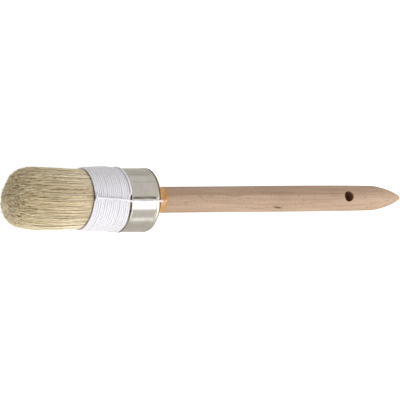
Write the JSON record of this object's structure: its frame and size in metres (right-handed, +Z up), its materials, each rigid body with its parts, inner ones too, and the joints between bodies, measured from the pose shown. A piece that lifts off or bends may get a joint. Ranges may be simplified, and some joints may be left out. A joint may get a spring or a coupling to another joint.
{
  "type": "round paint brush",
  "caption": "Round paint brush with domed bristles bound by a wound cord, a metal ring ferrule and a pointed wooden handle with a hanging hole.",
  "frame": {"origin": "on the ground, under the middle of the brush's length and width, as the brush lies on its side", "axes": "+X along the brush from the bristle tips to the handle's point, +Z up, with the hanging hole drilled along Z"},
  "size_m": [0.2916, 0.0404, 0.0414],
  "materials": {
    "beech": "turned and sanded, bare",
    "tinplate": "polished tinplate",
    "bristle": "natural pale hog bristle",
    "cord": "white twisted cotton",
    "resin": "amber, glossy, poured"
  },
  "bodies": {
    "brush": {"handle": "beech", "ferrule": "tinplate", "bound_bristles": "bristle", "binding_cord": "cord", "resin_collar": "resin"},
    "bristles": {"free_bristles": "bristle"}
  },
  "joints": [
    {"name": "bristle_flex", "type": "hinge", "parent": "brush", "child": "bristles", "pos_m": [-0.0948, 0, 0.0202], "axis": [0, 0, 1], "range_deg": [-25, 25], "stiffness_Nm_per_rad": 1.2, "deforming": ["free_bristles"]}
  ]
}
